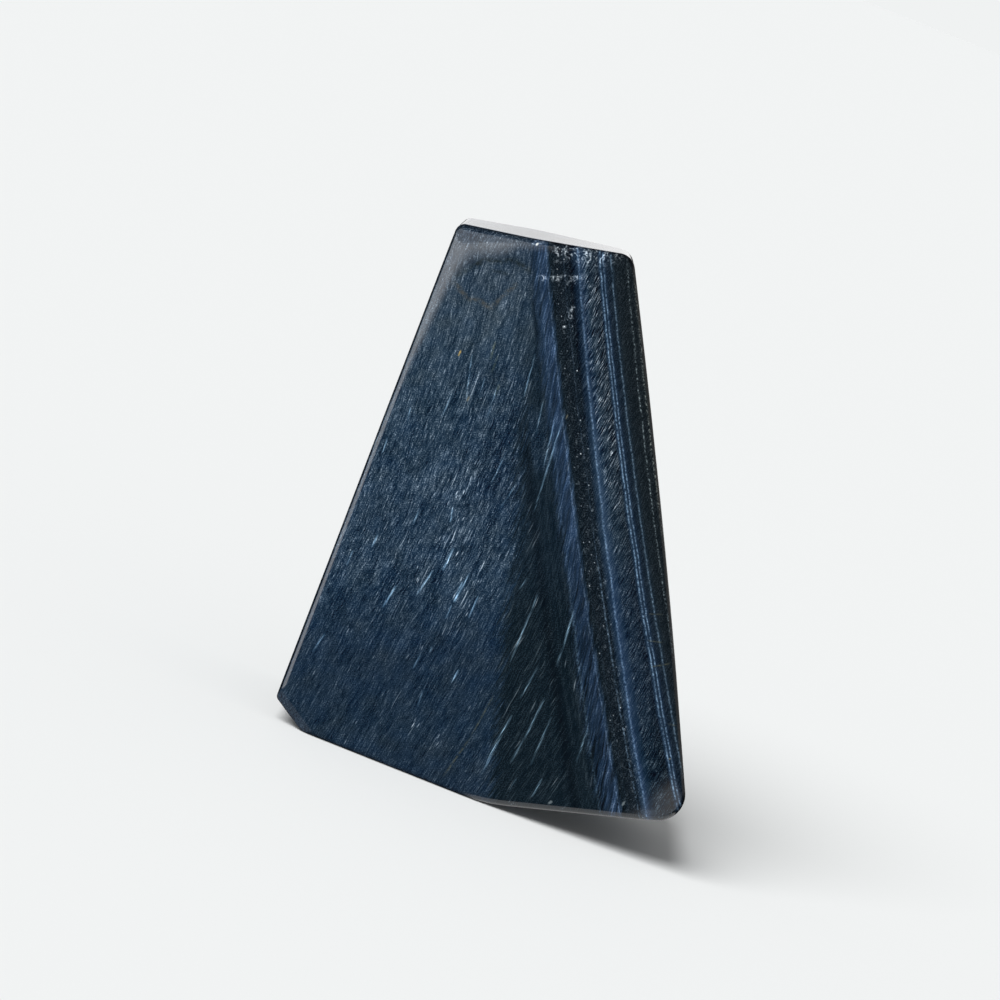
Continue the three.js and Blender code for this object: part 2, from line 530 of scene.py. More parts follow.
def colour_ramp(field, stops):
    """A colour for each value of a field: stops are (value, (red, green, blue))."""
    low, high = stops[0][0], stops[-1][0]
    node = field.tree.nodes.new("ShaderNodeValToRGB")
    elements = node.color_ramp.elements
    while len(elements) < len(stops):
        elements.new(0.5)
    for element, (value, colour) in zip(elements, stops):
        element.position = (value - low) / (high - low)
        element.color = (*screen(*colour), 1.0)
    feed(field.tree, node.inputs[0], (field - low) / (high - low))
    parts = node_with(field.tree, "ShaderNodeSeparateColor", {0: node.outputs[0]}).outputs
    return vector_of(field.tree, *parts)


def mixed(share, under, over):
    """One colour over another, by a field's share."""
    # A Mix node's inputs 4 and 5 and its output 1 are those of its VECTOR kind.
    inputs = {"Factor": share, 4: under, 5: over}
    return node_with(share.tree, "ShaderNodeMix", inputs, data_type="VECTOR").outputs[1]


def shifted(colour, amount, levels=(1, 1, 1)):
    """A colour moved by a field's amount of these levels."""
    amounts = vector_of(amount.tree, *even(amount))
    return vector_math(amount.tree, "MULTIPLY_ADD", amounts, screen(*levels), colour)


# ------------------------------
# The pattern's frame. It is measured in millimetres from the middle of the front face: u to the
# right, v up, both turned from the stone's own upright, and d inwards from the face. Bands lie
# at steady values of s. Silk fibres run along steady values of w, the crossing fibres between
# the bands along steady values of slant, and the fibres beside them along steep ones.
# ------------------------------

MM = 1000
GRAIN_TURN = math.radians(21.7)
FACE_MIDDLE = (-0.009912, 0.03995)

# The leaning face is this much longer than it is high.
FACE_STRETCH = 1.0098

# How far fibres move to the right for each millimetre that they rise.
FIBRE_SLANT = 0.43
CROSS_SLANT = 0.53
STEEP_SLANT = 0.2

# How far into the stone a spot reaches.
SPOT_DEPTH = 3.0

# How far the edges and sides are darkened, as painted shade, where the faces keep a painted
# sheen.
PAINTED_EDGE_SHADE = 0.5

# ------------------------------
# Groups: what the stone's zones share, and the two that finish its colour.
# ------------------------------


def new_group(name, inputs, output, output_kind=NUMBER):
    """An empty shader group, its inputs as fields or sockets, and its output socket."""
    tree = bpy.data.node_groups.new(name, "ShaderNodeTree")
    for label, kind in inputs.items():
        tree.interface.new_socket(label, in_out="INPUT", socket_type=kind)
    tree.interface.new_socket(output, in_out="OUTPUT", socket_type=output_kind)
    entry = tree.nodes.new("NodeGroupInput").outputs
    values = [
        Field(tree, entry[label]) if kind == NUMBER else entry[label]
        for label, kind in inputs.items()
    ]
    return tree, values, tree.nodes.new("NodeGroupOutput").inputs[0]


def laid_out(tree, lane, fineness, start):
    """Places in a lane of fibres as cells this fine, counted from a start of their own."""
    inputs = {"Vector": lane, "Scale": fineness, "Location": start}
    return node_with(tree, "ShaderNodeMapping", inputs).outputs[0]


def stretched_grain_group():
    """Noise about 0, drawn out along the fibres."""
    names = ["Lane", "Fineness", "Start"]
    tree, values, result = new_group("stretched_grain", dict.fromkeys(names, VECTOR), "Grain")
    cells = laid_out(tree, *values)
    feed(tree, result, noise_field(tree, cells, roughness=0.6))
    return tree


def scattered_glints_group():
    """Short bright fibres lying apart from each other, 0 between them."""
    inputs = {"Lane": VECTOR, "Fineness": VECTOR, "Start": VECTOR, "Share": NUMBER}
    tree, (lane, fineness, start, share), result = new_group("scattered_glints", inputs, "Glint")
    cells = laid_out(tree, lane, fineness, start)
    voronoi = node_with(tree, "ShaderNodeTexVoronoi", {"Vector": cells, "Scale": 1.0})
    near = Field(tree, voronoi.outputs["Distance"]).step(0.42, 0.08)
    luck = node_with(tree, "ShaderNodeSeparateColor", {0: voronoi.outputs["Color"]}).outputs
    chosen = (Field(tree, luck[0]) + share).step(1.0, 1.15)
    second_luck = Field(tree, luck[1])
    brightness = second_luck * second_luck * 0.8 + 0.2
    feed(tree, result, near * chosen * brightness)
    return tree


def long_streak_group():
    """One streak along a straight line, thin at its ends."""
    inputs = {"Place": VECTOR, "From": VECTOR, "To": VECTOR, "Width": NUMBER}
    tree, (place, start, end, width), result = new_group("long_streak", inputs, "Streak")
    from_start = vector_math(tree, "SUBTRACT", place, start)
    run = vector_math(tree, "SUBTRACT", end, start)
    along = measured(tree, "DOT_PRODUCT", from_start, run)
    t = (along / measured(tree, "DOT_PRODUCT", run, run)).at_least(0.0).at_most(1.0)
    off = measured(tree, "DISTANCE", from_start, vector_math(tree, "SCALE", run, Scale=t))
    taper = (t * (1.0 - t) * 4.0).math("POWER", 0.6)
    feed(tree, result, off.ridge(0.0, width) * taper)
    return tree


def curly_hairs_group():
    """Fine curling hairs: the lines along which a noise passes through its middle."""
    inputs = {"Place": VECTOR, "Size": NUMBER, "Width": NUMBER, "Seed": NUMBER}
    tree, (place, size, width, seed), result = new_group("curly_hairs", inputs, "Hair")
    offset = vector_of(tree, seed, seed, 0.0)
    cells = vector_math(tree, "SCALE", place, Scale=size.math("POWER", -1.0))
    level = noise_field(tree, vector_math(tree, "ADD", cells, offset), detail=1.5)
    feed(tree, result, level.ridge(0.0, width / size))
    return tree


def ragged_spot_group():
    """A soft spot with a ragged edge, drawn out along the fibres."""
    inputs = {"Place": VECTOR, "At": VECTOR, "Size": VECTOR, "Rough": NUMBER}
    tree, (place, at, size, rough), result = new_group("ragged_spot", inputs, "Spot")
    u, v, d = parts_of(tree, vector_math(tree, "SUBTRACT", place, at))
    upright = vector_of(tree, u - v * FIBRE_SLANT, v, d)
    far = measured(tree, "LENGTH", vector_math(tree, "DIVIDE", upright, size))
    feed(tree, result, (far + rough).step(1.2, 0.5))
    return tree


def base_colour_group():
    """Screen levels as the base colour that shows them on the lit front face."""
    tree, (levels,), result = new_group("base_colour", {"Levels": COLOUR}, "Colour", COLOUR)
    lifted = vector_math(tree, "ADD", levels, even(SCREEN_TOE))
    positive = vector_math(tree, "MAXIMUM", lifted, even(SCREEN_TOE))
    scaled = vector_math(tree, "MULTIPLY", positive, even(1 / (1 + SCREEN_TOE)))
    gamma = {"Color": scaled, "Gamma": SCREEN_GAMMA}
    linear = node_with(tree, "ShaderNodeGamma", gamma).outputs[0]
    unveiled = vector_math(tree, "SUBTRACT", linear, even(FRONT_VEIL))
    safe = vector_math(tree, "MAXIMUM", unveiled, even(DARKEST))
    feed(tree, result, vector_math(tree, "MULTIPLY", safe, even(1 / FRONT_LIGHT)))
    return tree


def painted_sheen_group():
    """Painted sheen: the faces keep their levels, and edges and sides, cut across the fibres, are
    darkened as painted shade.
    """
    inputs = {"Levels": COLOUR, "Squareness": NUMBER}
    tree, (levels, squareness), result = new_group("painted_sheen", inputs, "Colour", COLOUR)
    light = squareness.step(0.35, 0.9) * PAINTED_EDGE_SHADE + (1 - PAINTED_EDGE_SHADE)
    feed(tree, result, vector_math(tree, "SCALE", levels, Scale=light))
    return tree


def placed(tree, group, **inputs):
    """A group set into a tree, its inputs fed by name."""
    node = tree.nodes.new("ShaderNodeGroup")
    node.node_tree = group
    for name, value in inputs.items():
        feed(tree, node.inputs[name], value)
    return node.outputs[0]


# ------------------------------
# The pattern: its coordinates, its marks and its zones.
# ------------------------------

# What the zones are drawn with: the material's tree, its groups, the coordinates above, point,
# which is (u, v, d) with a slight tremble, rough, the noise that frays spots, and lanes, a
# vector for each coordinate that fibres lie across.
Place = namedtuple("Place", "tree groups u v d s w slant steep point rough lanes")


def stone_place(tree, groups, front_foot):
    """The pattern's coordinates, from Object coordinates and the foot of the front face."""
    stone = tree.nodes.new("ShaderNodeTexCoord").outputs["Object"]
    sizes = Vector((MM, MM, MM * FACE_STRETCH))
    middle = Vector((FACE_MIDDLE[0] * sizes.x, 0, FACE_MIDDLE[1] * sizes.z))
    middle.rotate(Matrix.Rotation(GRAIN_TURN, 3, "Y"))
    turn = {"Vector": stone, "Location": -middle, "Rotation": (0, GRAIN_TURN, 0), "Scale": sizes}
    turned = node_with(tree, "ShaderNodeMapping", turn).outputs[0]
    u, y, v = parts_of(tree, turned)
    z = parts_of(tree, stone)[2] * MM
    d = (y - front_foot * MM - z * math.tan(FRONT_LEAN)).at_least(0.0)

    # Deeper in, the pattern lies further right and lower, and swirls a little.
    swirl = noise_field(tree, turned, 1 / 14, detail=0.0)
    u_in = u - d * 0.24 + d * swirl * 0.5
    v_in = v + d * 0.12

    # The bands lean and bow as they rise, lie further apart low down, and waver.
    slope = v_in * (v_in * 0.0007 - 0.1234)
    wobble = noise_field(tree, vector_of(tree, u / 5, v_in / 9, d / 7))
    tremble = noise_field(tree, vector_of(tree, u / 3, v_in / 1.6, d / 2))
    settle = (v_in + 16.0) * (v_in + 16.0) * 0.0001
    s = (u_in - slope * 0.897) / (slope * 0.01 + 1.0) + wobble * 0.35 + tremble * 0.14 + settle

    # The fibres lean, and wander together.
    wander = noise_field(tree, vector_of(tree, u / 2.5, v_in / 5, d / 3))
    w = u_in - v_in * (FIBRE_SLANT - v_in * 0.0025) + wander * 0.7
    slant = u_in - v_in * CROSS_SLANT + wander * 0.7
    steep = u_in - v_in * STEEP_SLANT + wander * 0.7

    point = vector_of(tree, u + tremble * 0.12, v, d)
    rough = noise_field(tree, point, scale=2.2, detail=3.0, roughness=0.7)
    lanes = {across: vector_of(tree, across, v_in, d) for across in (u_in, s, w, slant, steep)}
    return Place(tree, groups, u_in, v_in, d, s, w, slant, steep, point, rough, lanes)


def drawn(place, group, **inputs):
    """One of the pattern's groups set into the stone's tree, as a field."""
    return Field(place.tree, placed(place.tree, place.groups[group], **inputs))


def fibres(place, group, across, width, length, seed, **inputs):
    """A group's marks, each in a cell this wide and long, lying across one coordinate."""
    fineness = (1.0 / width, 1.0 / length, 1.0 / width)
    lane, start = place.lanes[across], (0.0, seed, 0.0)
    return drawn(place, group, Lane=lane, Fineness=fineness, Start=start, **inputs)


def grain(place, across, width, length, seed):
    """Light and dark fibres about this wide and long."""
    return fibres(place, "grain", across, width, length, seed)


def glints(place, across, width, length, share, seed):
    """Glints about this wide and long, in a share of their cells."""
    return fibres(place, "glints", across, 2.0 * width, 2.0 * length, seed, Share=share)


def hairs(place, size, width, seed):
    """Hairs this wide that curl within about a size."""
    return drawn(place, "hairs", Place=place.point, Size=size, Width=width, Seed=seed)


def spots(place, entries, ragged):
    """All of these spots together, each (u, v, half its width, half its height)."""
    rough = place.rough * ragged
    return strongest(
        drawn(
            place, "spot", Place=place.point, At=(u, v, 0.0),
            Size=(width, height, SPOT_DEPTH), Rough=rough,
        )
        for u, v, width, height in entries
    )


def streaks(place, entries):
    """All of these streaks together, each (from u, v, to u, v, half its width, strength)."""
    return strongest(
        strength * drawn(
            place, "streak", Place=place.point, From=(start_u, start_v, 0.0),
            To=(end_u, end_v, 0.0), Width=width,
        )
        for start_u, start_v, end_u, end_v, width, strength in entries
    )


# The silk from its lowest to its highest: v and the colour.
SILK_COLOURS = [
    (-42.0, (31, 46, 62)),
    (-32.0, (28, 44, 60)),
    (-21.0, (28, 44, 61)),
    (-12.0, (32, 50, 68)),
    (0.0, (37, 55, 73)),
    (14.0, (37, 55, 72)),
    (26.0, (47, 63, 78)),
    (38.0, (42, 55, 69)),
]

# Places where pale glints crowd in the silk: u, v, half width and half height.
GLINT_CROWDS = [
    (-5.0, -14.0, 3.0, 5.5),
    (-6.5, -6.5, 3.2, 4.6),
    (-10.6, -11.0, 1.6, 2.4),
    (-6.0, 2.5, 4.0, 4.5),
    (-12.8, -31.8, 1.6, 2.0),
    (-9.0, -33.5, 1.2, 1.6),
]

# Pale fibres long enough to be seen one by one: from u, v, to u, v, half width and strength.
PALE_FIBRES = [
    (-3.8, 20.4, -4.7, 13.9, 0.10, 0.7),
    (-2.1, 17.1, -2.9, 13.9, 0.09, 0.5),
    (0.0, 16.8, -1.8, 11.4, 0.10, 0.6),
    (4.9, 20.4, 3.3, 14.2, 0.10, 0.7),
    (6.1, 14.2, 5.0, 9.2, 0.10, 0.6),
    (-6.6, 15.0, -8.1, 11.4, 0.10, 0.5),
    (1.1, 7.0, -1.4, 2.0, 0.10, 0.5),
    (2.5, 2.7, -0.7, -2.4, 0.10, 0.4),
    (-6.5, -0.9, -6.9, -3.1, 0.12, 0.8),
    (-6.4, -6.6, -8.0, -9.8, 0.2, 0.9),
    (-5.1, -11.3, -6.4, -14.2, 0.2, 1.0),
    (-11.1, -1.1, -12.1, -3.4, 0.14, 0.8),
    (-20.4, -6.9, -21.4, -9.1, 0.14, 0.7),
    (-16.9, -4.6, -17.9, -6.6, 0.13, 0.6),
    (-6.7, -14.5, -7.6, -16.5, 0.14, 0.9),
    (-12.4, 12.9, -12.9, 11.0, 0.1, 0.6),
    (-15.6, 8.8, -16.3, 6.5, 0.1, 0.6),
    (-14.4, -11.8, -16.3, -15.0, 0.14, 1.0),
    (-9.2, -9.6, -11.6, -13.2, 0.13, 0.8),
    (-4.2, -10.0, -6.0, -13.6, 0.12, 0.8),
    (-2.9, -13.2, -4.4, -16.4, 0.12, 0.8),
    (-11.0, -21.4, -12.1, -23.5, 0.11, 0.6),
    (-9.5, -20.3, -9.8, -21.1, 0.12, 0.7),
    (-10.7, -26.4, -11.5, -28.8, 0.11, 0.5),
    (-5.7, -23.5, -6.9, -25.6, 0.14, 1.0),
    (-24.3, -18.5, -26.1, -21.2, 0.13, 0.7),
    (9.0, 12.1, 4.7, -1.7, 0.11, 0.9),
    (7.6, 11.0, 6.0, 4.5, 0.10, 0.6),
    (5.3, -13.0, 1.4, -22.6, 0.12, 0.8),
    (3.8, -10.7, 2.7, -12.4, 0.10, 0.7),
    (10.3, -15.2, 8.5, -21.4, 0.14, 0.8),
    (8.9, -20.0, 7.8, -23.2, 0.14, 0.6),
    (5.5, -22.8, 2.8, -27.6, 0.12, 0.7),
    (1.7, -29.8, -2.1, -36.9, 0.15, 1.0),
    (-0.6, -34.6, -2.8, -38.4, 0.12, 0.7),
    (6.3, -27.4, 3.3, -33.4, 0.12, 1.0),
    (3.4, -33.0, 1.4, -36.7, 0.12, 0.6),
    (7.2, -30.0, 4.2, -37.0, 0.13, 0.5),
    (12.2, -31.7, 10.6, -36.6, 0.12, 0.7),
    (5.9, -38.7, 4.4, -41.4, 0.12, 0.8),
    (2.4, -38.6, 1.2, -40.6, 0.11, 0.5),
]

# The bands from left to right, without their bright lines: s and the colour.
BAND_COLOURS = [
    (7.6, (27, 41, 57)),
    (8.3, (32, 49, 69)),
    (9.8, (36, 53, 75)),
    (10.3, (34, 50, 68)),
    (10.65, (20, 30, 38)),
    (11.4, (21, 29, 36)),
    (12.9, (20, 30, 39)),
    (13.5, (31, 47, 64)),
    (14.3, (46, 65, 87)),
    (14.9, (39, 56, 74)),
    (15.4, (34, 49, 63)),
    (17.1, (30, 41, 51)),
    (17.4, (28, 43, 60)),
    (18.2, (27, 41, 58)),
    (18.5, (23, 34, 46)),
    (19.3, (25, 36, 46)),
    (19.8, (26, 34, 40)),
    (20.6, (23, 30, 35)),
    (22.6, (25, 31, 35)),
]

# The brightest band and its line move this far across for each millimetre that they rise.
BRIGHT_BAND_DRIFT = 0.0135

# Bright lines in the bands: s, how far it moves for each millimetre of v, half its width, how
# much of it comes and goes in dots, the levels it adds, and where it starts to show if it
# doesn't run right through.
Line = namedtuple("Line", "s drift width dots levels shows", defaults=(None,))

BRIGHT_LINES = [
    Line(8.35, 0.02, 0.2, 6.0, (9, 10, 11)),
    Line(8.3, 0.02, 0.18, 5.0, (14, 17, 18), (-8.0, -18.0)),
    Line(10.05, 0.0, 0.11, 6.0, (24, 27, 31)),
    Line(11.15, 0.0, 0.12, 6.0, (5, 6, 7), (-14.0, -24.0)),
    Line(12.45, 0.0, 0.1, 6.0, (12, 13, 15)),
    Line(12.45, 0.0, 0.12, 5.0, (24, 29, 33), (-2.0, -14.0)),
    Line(14.05, BRIGHT_BAND_DRIFT, 0.15, 5.0, (36, 41, 46)),
    Line(17.6, 0.0, 0.12, 5.0, (50, 58, 64)),
    Line(18.05, 0.0, 0.1, 5.0, (50, 58, 64)),
    Line(19.17, 0.0, 0.12, 5.0, (40, 46, 51)),
    Line(21.05, 0.012, 0.11, 14.0, (28, 30, 30)),
    Line(21.95, 0.012, 0.16, 16.0, (24, 24, 22)),
]

# Places where pale curls crowd, in the black band and along the top.
CURL_CROWDS = [
    (9.2, 34.5, 2.4, 1.5),
    (8.0, 30.8, 3.6, 0.5),
    (10.4, 30.6, 1.1, 0.9),
    (13.6, 33.9, 3.8, 1.5),
    (9.6, 25.6, 0.5, 1.8),
    (2.5, 35.8, 5.0, 0.7),
]

# Mineral stains and one painted highlight: their colour, how fully they cover, and the spots or
# the streaks, as above, that they are.
StainOrHighlight = namedtuple("StainOrHighlight", "colour cover kind places")

STAINS_AND_HIGHLIGHT = [
    StainOrHighlight((184, 158, 98), 0.9, "spots", [(-5.55, 20.45, 0.17, 0.45)]),
    StainOrHighlight((112, 110, 98), 0.8, "spots", [
        (-4.4, 14.1, 0.18, 0.4),
        (9.3, 11.6, 0.14, 0.35),
        (23.6, -36.0, 0.16, 0.14),
    ]),
    StainOrHighlight((98, 106, 92), 0.7, "streaks", [
        (-0.6, 22.2, -1.3, 19.4, 0.18, 1.0),
        (-0.2, 20.2, -1.2, 17.6, 0.16, 0.7),
        (0.0, 16.2, -0.6, 14.6, 0.16, 0.7),
    ]),
    StainOrHighlight((80, 78, 73), 0.8, "streaks", [
        (-6.6, 30.4, -4.3, 27.8, 0.36, 1.0),
        (-4.6, 27.9, -2.7, 27.8, 0.29, 1.0),
        (-3.1, 27.9, -1.1, 26.4, 0.34, 1.0),
        (-1.4, 26.4, 0.7, 28.7, 0.31, 1.0),
        (0.4, 28.3, 2.5, 30.1, 0.31, 1.0),
    ]),
    StainOrHighlight((25, 32, 32), 0.8, "streaks", [
        (-6.2, 30.9, -3.9, 32.3, 0.31, 0.7),
        (-4.4, 31.9, -1.8, 33.5, 0.39, 1.0),
        (-2.2, 33.4, 0.6, 32.9, 0.34, 0.9),
        (0.0, 33.2, 2.4, 33.3, 0.31, 0.8),
        (1.8, 33.4, 4.6, 31.4, 0.34, 0.9),
        (-1.4, 31.9, 1.4, 31.3, 0.26, 0.5),
    ]),
    StainOrHighlight((92, 90, 72), 0.75, "streaks", [
        (-0.8, -27.0, -4.2, -33.2, 0.12, 0.9),
        (-4.1, -33.0, -8.0, -38.6, 0.12, 1.0),
        (20.5, -15.8, 22.7, -15.9, 0.09, 0.8),
        (20.4, -19.5, 22.7, -19.8, 0.1, 1.0),
        (20.9, -23.2, 23.8, -22.7, 0.1, 1.0),
        (23.2, -31.1, 24.6, -31.4, 0.09, 0.8),
    ]),
    # A painted highlight, not a stain: a small white spot where a lamp glints on the top edge.
    StainOrHighlight((232, 236, 236), 1.0, "spots", [(5.14, 35.45, 0.26, 0.26)]),
    StainOrHighlight((120, 130, 134), 0.8, "spots", [
        (7.0, -42.1, 0.3, 0.3),
        (17.2, -42.2, 0.22, 0.4),
    ]),
]


def stained_and_highlighted(place, colour):
    """A colour under all of the mineral stains and the painted highlight, whose streaks break up
    into grains.
    """
    broken = noise_field(place.tree, place.point, 1 / 0.5, detail=2.0, roughness=0.8)
    grains = broken.step(-0.2, 0.12)
    for stain_or_highlight in STAINS_AND_HIGHLIGHT:
        if stain_or_highlight.kind == "spots":
            share = spots(place, stain_or_highlight.places, 1.6)
        else:
            share = streaks(place, stain_or_highlight.places) * grains
        colour = mixed(share * stain_or_highlight.cover, colour, screen(*stain_or_highlight.colour))
    return colour


def sharpened(detail):
    """Light and dark of one strength, with the light drawn further out and the dark held in."""
    light = detail.at_least(0.0)
    return detail * 0.65 + light * 0.35 + light * light / 70.0


def silk(place, specks):
    """The wide silky zone: its colour and how much lighter or darker each place is."""
    w, v = place.w, place.v
    colour = colour_ramp(v, SILK_COLOURS)
    hue = noise_field(place.tree, place.point, 1 / 3.0)
    colour = shifted(colour, hue, (-8, -1, 10))
    shaded = place.u.step(-7.0, 0.0) * v.between(-3.0, 19.0, 8.0)
    colour = shifted(colour, shaded, (-8, -9, -9))

    lively = v.step(-24.0, -6.0) * (1.0 - v.step(6.0, 26.0) * 0.4)
    fine = specks * 1.5 + grain(place, w, 0.17, 1.2, 11.0) * 1.4
    broad = grain(place, w, 0.26, 6.0, 23.0) * 1.3 + grain(place, w, 0.6, 4.0, 31.0) * 0.8
    detail = sharpened(fine * (lively * 40.0 + 58.0) + broad * (lively * 16.0 + 34.0))
    detail += grain(place, w, 1.8, 8.0, 33.0) * (lively * 28.0 + 24.0)

    crowd = spots(place, GLINT_CROWDS, 1.0)
    patches = grain(place, w, 2.0, 5.0, 37.0)
    share = crowd * 0.4 + patches * 0.8 + 0.1
    strength = crowd * 70.0 + lively * 40.0 + 90.0
    detail += glints(place, w, 0.14, 2.2, share, 5.0) * strength
    detail += glints(place, w, 0.13, 0.6, share + 0.02, 6.0) * strength
    upper_right = v.step(-8.0, 4.0) * place.u.step(-12.0, -2.0)
    upper = v.step(2.0, 14.0)
    detail += glints(place, w, 0.1, 4.0, upper_right * 0.2 + upper * 0.12 + 0.08, 9.0) * 90.0
    return colour, detail


def dark_wedge(place, specks):
    """The dark wedge between the silk and the bands, where the fibres fan out to upright."""
    w, steep = place.w, place.steep
    low = place.v.step(-8.0, -18.0)
    colour = mixed(low, screen(23, 35, 45), screen(20, 31, 39))
    colour = shifted(colour, place.s.ridge(4.4, 0.7) * place.v.step(12.0, 6.0), (-6, -8, -9))
    upright = place.s.step(3.8, 6.8)
    slanted = grain(place, w, 0.2, 1.5, 47.0) * 52.0 + grain(place, w, 0.6, 8.0, 41.0) * 22.0
    standing_up = grain(place, steep, 0.2, 1.8, 48.0) * 50.0
    standing_up += grain(place, place.s, 0.8, 11.0, 42.0) * 55.0
    fanned = slanted + (standing_up - slanted) * upright
    detail = sharpened(specks * 55.0 + fanned)

    share = grain(place, w, 2.0, 5.0, 43.0) * 0.6 + 0.2
    detail += glints(place, w, 0.12, 1.4, share - upright * 0.4, 8.0) * 105.0
    detail += glints(place, w, 0.11, 4.5, share - upright * 0.3 + 0.04, 12.0) * 95.0
    detail += glints(place, steep, 0.13, 1.6, share + upright * 0.5 - 0.5, 10.0) * 110.0
    return colour, detail


def bands(place, specks):
    """The straight bands along the right side, with crossing fibres between them."""
    s, v = place.s, place.v
    beside_line = s.between(12.7, 15.5, 1.0)
    colour = colour_ramp(s - v * beside_line * BRIGHT_BAND_DRIFT, BAND_COLOURS)
    blue = s.step(10.9, 10.3)
    crossed = s.between(14.7, 17.3, 0.4)
    low = v.step(-3.0, -16.0)
    colour = shifted(colour, low * blue, (-6, -8, -11))
    colour = shifted(colour, low * s.between(13.4, 17.3, 0.4), (-8, -8, -6))
    colour = shifted(colour, v.step(-25.0, -38.0) * s.between(14.0, 17.3, 0.4), (-9, -9, -12))
    colour = shifted(colour, v.step(4.0, 18.0) * s.between(13.1, 15.0, 0.5), (-10, -12, -13))

    dots = grain(place, s, 0.3, 0.34, 57.0)
    runs = grain(place, s, 0.6, 3.0, 58.0)
    for line in BRIGHT_LINES:
        centre = v * line.drift + line.s
        strength = (1.0 + dots * line.dots + runs * 1.5).at_least(0.0)
        if line.shows:
            strength *= v.step(*line.shows)
        colour = shifted(colour, s.ridge(centre, line.width) * strength, line.levels)

    # Light fibres of the blue band are bluer too.
    blue_fibres = grain(place, place.steep, 0.2, 4.0, 55.0) * blue * 95.0
    blue_fibres += grain(place, place.steep, 0.7, 8.0, 56.0) * blue * 80.0
    colour = shifted(colour, blue_fibres, (-0.2, 0.0, 0.3))

    # The fibres that cross from band to band, thickest in the upper half but for its top.
    black = s.between(10.6, 13.3, 0.3)
    rim = s.step(18.9, 19.5)
    upper = v.step(-10.0, 8.0)
    slant = place.slant
    patches = (grain(place, s, 1.0, 1.6, 64.0) * 2.5 + 1.0).at_least(0.3)
    top = v.step(29.0, 33.0)
    hatching = crossed * patches * (85.0 + (upper - top) * 125.0) + beside_line * 30.0 + 50.0
    detail = grain(place, slant, 0.14, 1.5, 53.0) * hatching
    detail += specks * (black * 30.0 + crossed * 40.0 + 55.0)
    detail += grain(place, s, 0.3, 2.2, 51.0) * 14.0
    detail += blue_fibres
    detail += grain(place, slant, 0.5, 2.6, 59.0) * (1.0 - rim) * 26.0
    detail = sharpened(detail)
    detail += glints(place, place.steep, 0.13, 1.3, blue * 0.25, 62.0) * 50.0
    hatch = glints(place, slant, 0.13, 1.5, crossed * (upper * 0.25 + 0.15) + black * 0.08, 61.0)
    detail += hatch * (60.0 + upper * 30.0)

    # Curls, scuffs and bright dots.
    crowd = spots(place, CURL_CROWDS, 1.4)
    broken = grain(place, s, 0.7, 0.9, 63.0)
    curls = hairs(place, 0.9, 0.03, 3.0) * broken.step(0.03, 0.15)
    detail += curls * (black * 40.0 + crossed * 20.0)
    scuffs = hairs(place, 1.0, 0.04, 5.0) * 110.0 + hairs(place, 0.6, 0.03, 7.0) * 80.0
    detail += scuffs * crowd * broken.step(-0.08, 0.1)
    share = black * 0.15 + crossed * 0.05 + crowd * 0.15
    detail += glints(place, s, 0.14, 0.18, share, 67.0) * 250.0
    return colour, detail


def zone_shares(place):
    """How far the dark wedge covers the silk, and the bands both, with edges that fibres fray."""
    ragged = grain(place, place.w, 0.35, 7.0, 71.0) * 5.0
    ragged += grain(place, place.w, 0.3, 1.2, 73.0) * 3.0
    v, s = place.v, place.s
    low_edge = (v * (v * 0.0012 + 0.16) + 3.1).at_most(2.5)
    wedge_edge = low_edge + (v - 10.0).at_least(0.0) * 0.2
    wedge = (place.u - wedge_edge + ragged).step(-0.9, 1.3) * v.step(27.0, 12.0)
    valley = s.ridge(7.65, 0.5) * v.step(7.0, 13.0) * v.step(31.0, 26.0)
    approach = s.step(3.4, 7.6) * v.between(14.0, 25.0, 4.0) * 0.5
    gap = s.between(5.2, 7.6, 0.6) * v.between(4.0, 12.5, 3.0) * 0.55
    dark_share = (wedge * (1.0 - gap)).at_least(valley).at_least(approach)
    band_share = (s + ragged * 0.34 + v.step(-14.0, -26.0) * 0.5).step(7.2, 8.4)
    return dark_share, band_share


def side_layers(place, squareness):
    """Wavy layers of silk through the depth of the stone, seen where the sides cut them."""
    tree, u, v, d = place.tree, place.u, place.v, place.d
    waves = noise_field(tree, vector_of(tree, u / 14, v / 26, d / 2.4))
    fine = noise_field(tree, vector_of(tree, u / 14, v / 20, d / 0.5))
    fuzz = grain(place, place.w, 0.2, 2.0, 81.0) * 1.5
    side = squareness.step(0.35, 0.1)
    return side * ((waves * 3.0 + fine * 1.2 + fuzz).at_least(-0.4) + 0.5)


# Soft, dull silk under a clear and smooth polish.
POLISHED_SILK = {
    "Roughness": 0.45,
    "Specular IOR Level": 0.03,
    "Coat Weight": 1.0,
    "Coat Roughness": 0.03,
    "Coat IOR": 1.54,
}


